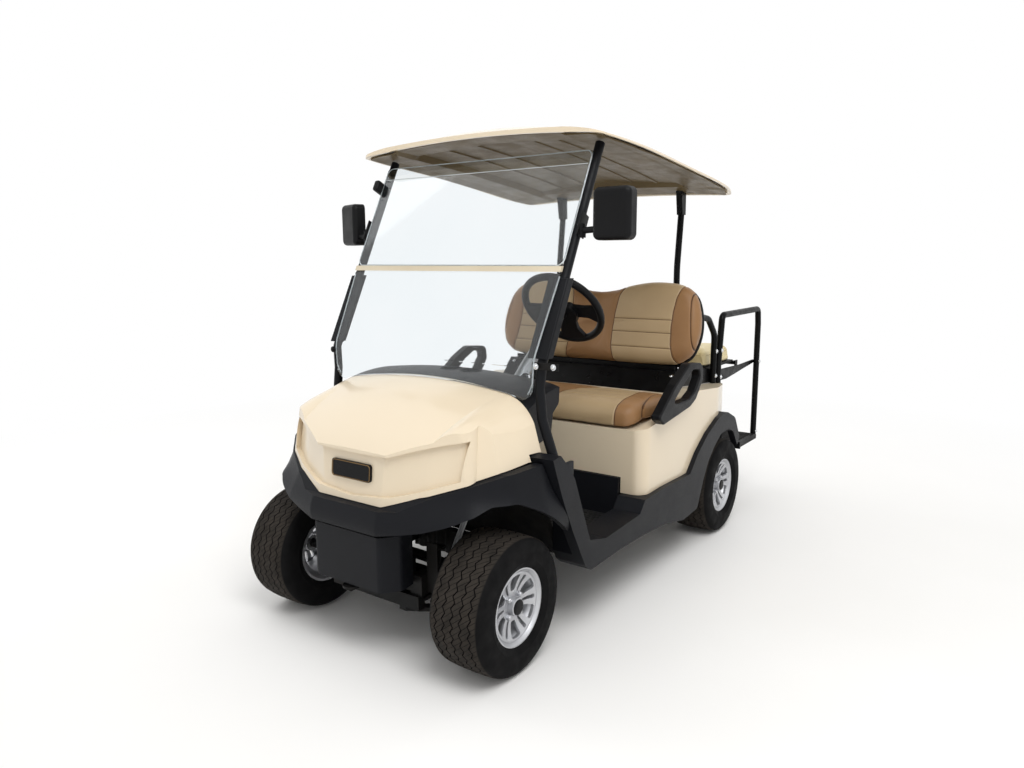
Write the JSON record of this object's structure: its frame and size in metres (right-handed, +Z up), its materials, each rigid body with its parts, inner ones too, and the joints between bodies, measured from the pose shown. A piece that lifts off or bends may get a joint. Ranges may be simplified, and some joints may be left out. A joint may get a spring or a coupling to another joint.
{
  "type": "golf cart",
  "caption": "Electric golf cart with a front bench seat, a roof on four posts, a fold-down windscreen and a rear-facing flip seat with grab hoops and a footrest.",
  "frame": {"origin": "on the ground under the middle of the bounding box", "axes": "+X to the cart's left side, +Y towards the rear, +Z up"},
  "size_m": [1.4309, 2.6836, 1.8387],
  "materials": {
    "frame_steel": "satin black coating",
    "bright_steel": "bare machined steel",
    "cast_dark": "dark cast housing",
    "battery_plastic": "moulded case",
    "body_cream": "gloss painted moulding",
    "lining_taupe": "moulded skin",
    "trim_charcoal": "fine grained moulding",
    "badge_dark": "blank plate",
    "grip_black": "grained",
    "floor_rubber": "ribbed mat",
    "seat_tan": "stitched leatherette",
    "seat_cream": "stitched leatherette",
    "coated_black": "gloss powder coat",
    "step_black": "tread plate",
    "clear_pane": "clear acrylic",
    "hinge_beige": "flexible fold strip",
    "mirror_silver": "mirror",
    "tyre": "moulded rubber",
    "wheel_alloy": "machined face"
  },
  "bodies": {
    "chassis": {"main_frame": "frame_steel", "cross_members": "frame_steel", "front_suspension": "frame_steel", "rear_axle": "cast_dark", "rear_springs": "frame_steel", "drive_motor": "cast_dark", "battery_block": "battery_plastic", "front_cowl": "body_cream", "front_bumper": "trim_charcoal", "front_skirt": "trim_charcoal", "tow_eye": "frame_steel", "badge_plate": "badge_dark", "dash": "trim_charcoal", "steering_column": "bright_steel", "floor_pan": "floor_rubber", "kick_panel": "trim_charcoal", "pedals": "frame_steel", "rockers": "trim_charcoal", "rear_body": "body_cream", "rear_valance": "trim_charcoal", "seat_back": "seat_tan", "seat_back_shell": "grip_black", "rear_seat_base": "coated_black", "armrests": "grip_black", "front_struts": "coated_black", "strut_sleeves": "grip_black", "rear_struts": "coated_black", "canopy": "body_cream", "roof_lining": "lining_taupe", "windshield": "clear_pane", "windshield_hinge": "hinge_beige", "mirrors": "grip_black", "mirror_glasses": "mirror_silver", "rear_seat_frame": "coated_black", "seat_hinge_bar": "coated_black", "rear_back_tubes": "coated_black", "footrest": "step_black", "rear_seat_back": "seat_cream"},
    "left_knuckle": {"knuckle_left": "frame_steel"},
    "right_knuckle": {"knuckle_right": "frame_steel"},
    "rack": {"steering_rack": "bright_steel"},
    "hand_wheel": {"steering_wheel": "grip_black"},
    "seat_lid": {"seat_cushion": "seat_tan"},
    "flip_seat": {"rear_deck": "step_black", "rear_seat_cushion": "seat_cream"},
    "wheel_front_left": {"tyre_front_left": "tyre", "rim_front_left": "wheel_alloy"},
    "wheel_front_right": {"tyre_front_right": "tyre", "rim_front_right": "wheel_alloy"},
    "wheel_rear_left": {"tyre_rear_left": "tyre", "rim_rear_left": "wheel_alloy"},
    "wheel_rear_right": {"tyre_rear_right": "tyre", "rim_rear_right": "wheel_alloy"}
  },
  "joints": [
    {"name": "steer_left", "type": "hinge", "parent": "chassis", "child": "left_knuckle", "pos_m": [0.3, -1.0962, 0.2286], "axis": [0, 0, 1], "range_deg": [-28, 28]},
    {"name": "steer_right", "type": "hinge", "parent": "chassis", "child": "right_knuckle", "pos_m": [-0.3, -1.0962, 0.2286], "axis": [0, 0, 1], "range_deg": [-28, 28]},
    {"name": "steering_wheel_turn", "type": "hinge", "parent": "chassis", "child": "hand_wheel", "pos_m": [0.24, -0.3602, 1.129], "axis": [0, 0.7727, 0.6347], "range_deg": [-392, 392]},
    {"name": "rack_slide", "type": "slide", "parent": "chassis", "child": "rack", "axis": [1, 0, 0], "range_m": [-0.063, 0.063]},
    {"name": "spin_front_left", "type": "hinge", "parent": "left_knuckle", "child": "wheel_front_left", "pos_m": [0.45, -1.0962, 0.2286], "axis": [1, 0, 0], "continuous": true},
    {"name": "spin_front_right", "type": "hinge", "parent": "right_knuckle", "child": "wheel_front_right", "pos_m": [-0.45, -1.0962, 0.2286], "axis": [1, 0, 0], "continuous": true},
    {"name": "spin_rear_left", "type": "hinge", "parent": "chassis", "child": "wheel_rear_left", "pos_m": [0.4925, 0.5678, 0.2286], "axis": [1, 0, 0], "continuous": true},
    {"name": "spin_rear_right", "type": "hinge", "parent": "chassis", "child": "wheel_rear_right", "pos_m": [-0.4925, 0.5678, 0.2286], "axis": [1, 0, 0], "continuous": true},
    {"name": "seat_tilt", "type": "hinge", "parent": "chassis", "child": "seat_lid", "pos_m": [0, -0.2902, 0.662], "axis": [1, 0, 0], "range_deg": [0, 50]},
    {"name": "rear_seat_flip", "type": "hinge", "parent": "chassis", "child": "flip_seat", "pos_m": [0, 1.0698, 0.766], "axis": [-1, 0, 0], "range_deg": [0, 180]}
  ],
  "couplings": [
    {"joint": "steer_right", "follows": "steer_left", "ratio": 1},
    {"joint": "steering_wheel_turn", "follows": "steer_left", "ratio": 14},
    {"joint": "rack_slide", "follows": "steer_left", "m_per_rad": -0.128}
  ]
}
